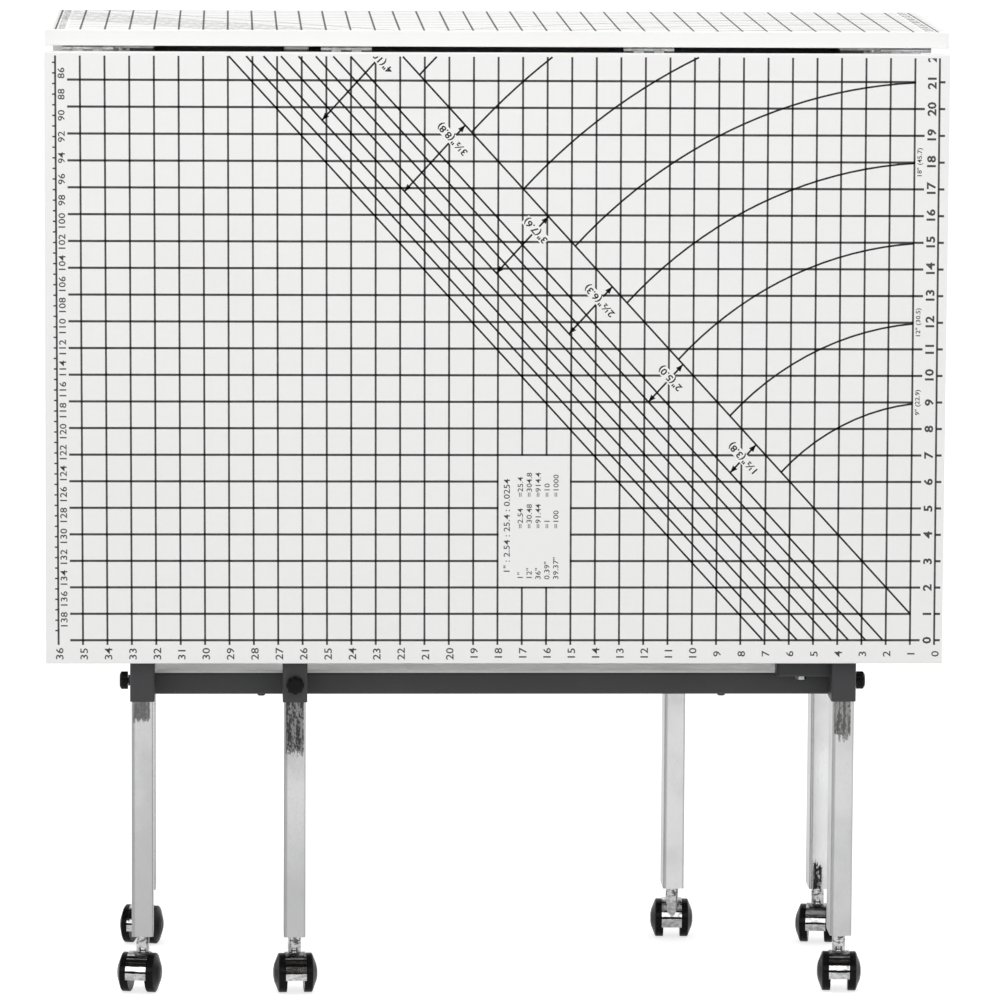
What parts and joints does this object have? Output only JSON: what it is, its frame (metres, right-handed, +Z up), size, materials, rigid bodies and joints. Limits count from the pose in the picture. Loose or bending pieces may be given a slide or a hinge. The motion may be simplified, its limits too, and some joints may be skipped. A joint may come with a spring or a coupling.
{
  "type": "folding sewing cutting table",
  "caption": "Folding sewing and cutting table: narrow centre board on a tube frame, two hanging leaves on butt hinges, swing-out gates, height-adjustable chrome legs and twin-wheel casters.",
  "frame": {"origin": "on the floor under the middle of the table", "axes": "+Z up, +X to the right along the hinges, +Y to the rear; the front leaf hangs on the -Y side"},
  "size_m": [0.908, 0.364, 0.984],
  "materials": {
    "board": "white melamine faced board with a printed measuring grid, satin",
    "shelf": "pale painted hardboard, satin",
    "frame_coat": "dark grey powder coat, semi-gloss",
    "chrome_leg": "bright chrome plate on tube",
    "caster_chrome": "bright chrome plate",
    "wheel_black": "black moulded nylon, glossy",
    "knob_black": "black moulded plastic, satin",
    "cap_black": "black moulded plastic, satin",
    "pad_grey": "light grey moulded plastic, satin",
    "zinc_steel": "bright zinc plate"
  },
  "bodies": {
    "front_leaf_body": {"front_leaf": "board", "front_leaf_hinge_plates": "zinc_steel", "front_leaf_hinge_screws": "zinc_steel"},
    "rear_leaf_body": {"rear_leaf": "board", "rear_leaf_hinge_plates": "zinc_steel", "rear_leaf_hinge_screws": "zinc_steel"},
    "front_gate_body": {"front_gate_bushes": "cap_black", "front_gate_pad": "pad_grey", "front_gate_post": "frame_coat", "front_gate_rails": "frame_coat", "front_gate_upright": "frame_coat"},
    "rear_gate_body": {"rear_gate_bushes": "cap_black", "rear_gate_pad": "pad_grey", "rear_gate_post": "frame_coat", "rear_gate_rails": "frame_coat", "rear_gate_upright": "frame_coat"},
    "frame": {"bracket_end_caps": "cap_black", "centre_hinge_plates": "zinc_steel", "centre_hinge_screws": "zinc_steel", "centre_top": "board", "frame_screws": "zinc_steel", "front_left_upright": "frame_coat", "front_lower_rail": "frame_coat", "front_right_upright": "frame_coat", "front_top_rail": "frame_coat", "hinge_pins": "zinc_steel", "mounting_plates": "zinc_steel", "pivot_bolts": "zinc_steel", "pivot_brackets": "frame_coat", "rear_left_upright": "frame_coat", "rear_lower_rail": "frame_coat", "rear_right_upright": "frame_coat", "rear_top_rail": "frame_coat", "shelf_bolts": "zinc_steel", "shelf_panel": "shelf", "side_rails": "frame_coat"},
    "front_left_leg_body": {"front_left_leg": "chrome_leg"},
    "front_left_knob_body": {"front_left_knob": "knob_black"},
    "front_left_caster": {"front_left_caster_body": "caster_chrome"},
    "front_left_wheels": {"front_left_caster_wheels": "wheel_black"},
    "front_right_leg_body": {"front_right_leg": "chrome_leg"},
    "front_right_knob_body": {"front_right_knob": "knob_black"},
    "front_right_caster": {"front_right_caster_body": "caster_chrome"},
    "front_right_wheels": {"front_right_caster_wheels": "wheel_black"},
    "rear_left_leg_body": {"rear_left_leg": "chrome_leg"},
    "rear_left_knob_body": {"rear_left_knob": "knob_black"},
    "rear_left_caster": {"rear_left_caster_body": "caster_chrome"},
    "rear_left_wheels": {"rear_left_caster_wheels": "wheel_black"},
    "rear_right_leg_body": {"rear_right_leg": "chrome_leg"},
    "rear_right_knob_body": {"rear_right_knob": "knob_black"},
    "rear_right_caster": {"rear_right_caster_body": "caster_chrome"},
    "rear_right_wheels": {"rear_right_caster_wheels": "wheel_black"},
    "front_gate_leg_body": {"front_gate_leg": "chrome_leg"},
    "front_gate_knob_body": {"front_gate_knob": "knob_black"},
    "front_gate_caster": {"front_gate_caster_body": "caster_chrome"},
    "front_gate_wheels": {"front_gate_caster_wheels": "wheel_black"},
    "rear_gate_leg_body": {"rear_gate_leg": "chrome_leg"},
    "rear_gate_knob_body": {"rear_gate_knob": "knob_black"},
    "rear_gate_caster": {"rear_gate_caster_body": "caster_chrome"},
    "rear_gate_wheels": {"rear_gate_caster_wheels": "wheel_black"}
  },
  "joints": [
    {"name": "front_leaf_hinge", "type": "hinge", "parent": "frame", "child": "front_leaf_body", "pos_m": [0, -0.1635, 0.9655], "axis": [-1, 0, 0], "range_deg": [0, 90]},
    {"name": "rear_leaf_hinge", "type": "hinge", "parent": "frame", "child": "rear_leaf_body", "pos_m": [0, 0.1635, 0.9655], "axis": [1, 0, 0], "range_deg": [0, 90]},
    {"name": "front_gate_pivot", "type": "hinge", "parent": "frame", "child": "front_gate_body", "pos_m": [0.316, -0.12, 0.3451], "axis": [0, 0, 1], "range_deg": [0, 0.6]},
    {"name": "rear_gate_pivot", "type": "hinge", "parent": "frame", "child": "rear_gate_body", "pos_m": [-0.316, 0.12, 0.3451], "axis": [0, 0, 1], "range_deg": [0, 0.6]},
    {"name": "front_left_leg_slide", "type": "slide", "parent": "frame", "child": "front_left_leg_body", "axis": [0, 0, 1], "range_m": [0, 0.225]},
    {"name": "front_left_knob_turn", "type": "hinge", "parent": "frame", "child": "front_left_knob_body", "pos_m": [-0.3695, -0.13, 0.3196], "axis": [-1, 0, 0], "range_deg": [0, 360]},
    {"name": "front_left_caster_swivel", "type": "hinge", "parent": "front_left_leg_body", "child": "front_left_caster", "pos_m": [-0.357, -0.13, 0.0582], "axis": [0, 0, 1], "continuous": true},
    {"name": "front_left_wheel_spin", "type": "hinge", "parent": "front_left_caster", "child": "front_left_wheels", "pos_m": [-0.36001, -0.14418, 0.0202], "axis": [0.9781, -0.2079, 0], "continuous": true},
    {"name": "front_right_leg_slide", "type": "slide", "parent": "frame", "child": "front_right_leg_body", "axis": [0, 0, 1], "range_m": [0, 0.225]},
    {"name": "front_right_knob_turn", "type": "hinge", "parent": "frame", "child": "front_right_knob_body", "pos_m": [0.3695, -0.13, 0.3196], "axis": [1, 0, 0], "range_deg": [0, 360]},
    {"name": "front_right_caster_swivel", "type": "hinge", "parent": "front_right_leg_body", "child": "front_right_caster", "pos_m": [0.357, -0.13, 0.0582], "axis": [0, 0, 1], "continuous": true},
    {"name": "front_right_wheel_spin", "type": "hinge", "parent": "front_right_caster", "child": "front_right_wheels", "pos_m": [0.35624, -0.14448, 0.0202], "axis": [0.9986, -0.0523, 0], "continuous": true},
    {"name": "rear_left_leg_slide", "type": "slide", "parent": "frame", "child": "rear_left_leg_body", "axis": [0, 0, 1], "range_m": [0, 0.225]},
    {"name": "rear_left_knob_turn", "type": "hinge", "parent": "frame", "child": "rear_left_knob_body", "pos_m": [-0.3695, 0.13, 0.3196], "axis": [-1, 0, 0], "range_deg": [0, 360]},
    {"name": "rear_left_caster_swivel", "type": "hinge", "parent": "rear_left_leg_body", "child": "rear_left_caster", "pos_m": [-0.357, 0.13, 0.0582], "axis": [0, 0, 1], "continuous": true},
    {"name": "rear_left_wheel_spin", "type": "hinge", "parent": "rear_left_caster", "child": "rear_left_wheels", "pos_m": [-0.361, 0.11606, 0.0202], "axis": [0.9613, -0.2756, 0], "continuous": true},
    {"name": "rear_right_leg_slide", "type": "slide", "parent": "frame", "child": "rear_right_leg_body", "axis": [0, 0, 1], "range_m": [0, 0.225]},
    {"name": "rear_right_knob_turn", "type": "hinge", "parent": "frame", "child": "rear_right_knob_body", "pos_m": [0.3695, 0.13, 0.3196], "axis": [1, 0, 0], "range_deg": [0, 360]},
    {"name": "rear_right_caster_swivel", "type": "hinge", "parent": "rear_right_leg_body", "child": "rear_right_caster", "pos_m": [0.357, 0.13, 0.0582], "axis": [0, 0, 1], "continuous": true},
    {"name": "rear_right_wheel_spin", "type": "hinge", "parent": "rear_right_caster", "child": "rear_right_wheels", "pos_m": [0.35498, 0.11564, 0.0202], "axis": [0.9903, -0.1392, 0], "continuous": true},
    {"name": "front_gate_leg_slide", "type": "slide", "parent": "front_gate_body", "child": "front_gate_leg_body", "axis": [0, 0, 1], "range_m": [0, 0.225]},
    {"name": "front_gate_knob_turn", "type": "hinge", "parent": "front_gate_body", "child": "front_gate_knob_body", "pos_m": [-0.202, -0.159, 0.3196], "axis": [0, -1, 0], "range_deg": [0, 360]},
    {"name": "front_gate_caster_swivel", "type": "hinge", "parent": "front_gate_leg_body", "child": "front_gate_caster", "pos_m": [-0.202, -0.134, 0.0582], "axis": [0, 0, 1], "continuous": true},
    {"name": "front_gate_wheel_spin", "type": "hinge", "parent": "front_gate_caster", "child": "front_gate_wheels", "pos_m": [-0.20124, -0.14848, 0.0202], "axis": [0.9986, 0.0523, 0], "continuous": true},
    {"name": "rear_gate_leg_slide", "type": "slide", "parent": "rear_gate_body", "child": "rear_gate_leg_body", "axis": [0, 0, 1], "range_m": [0, 0.225]},
    {"name": "rear_gate_knob_turn", "type": "hinge", "parent": "rear_gate_body", "child": "rear_gate_knob_body", "pos_m": [0.202, 0.159, 0.3196], "axis": [0, 1, 0], "range_deg": [0, 360]},
    {"name": "rear_gate_caster_swivel", "type": "hinge", "parent": "rear_gate_leg_body", "child": "rear_gate_caster", "pos_m": [0.202, 0.134, 0.0582], "axis": [0, 0, 1], "continuous": true},
    {"name": "rear_gate_wheel_spin", "type": "hinge", "parent": "rear_gate_caster", "child": "rear_gate_wheels", "pos_m": [0.20251, 0.14849, 0.0202], "axis": [0.9994, -0.0349, 0], "continuous": true}
  ]
}
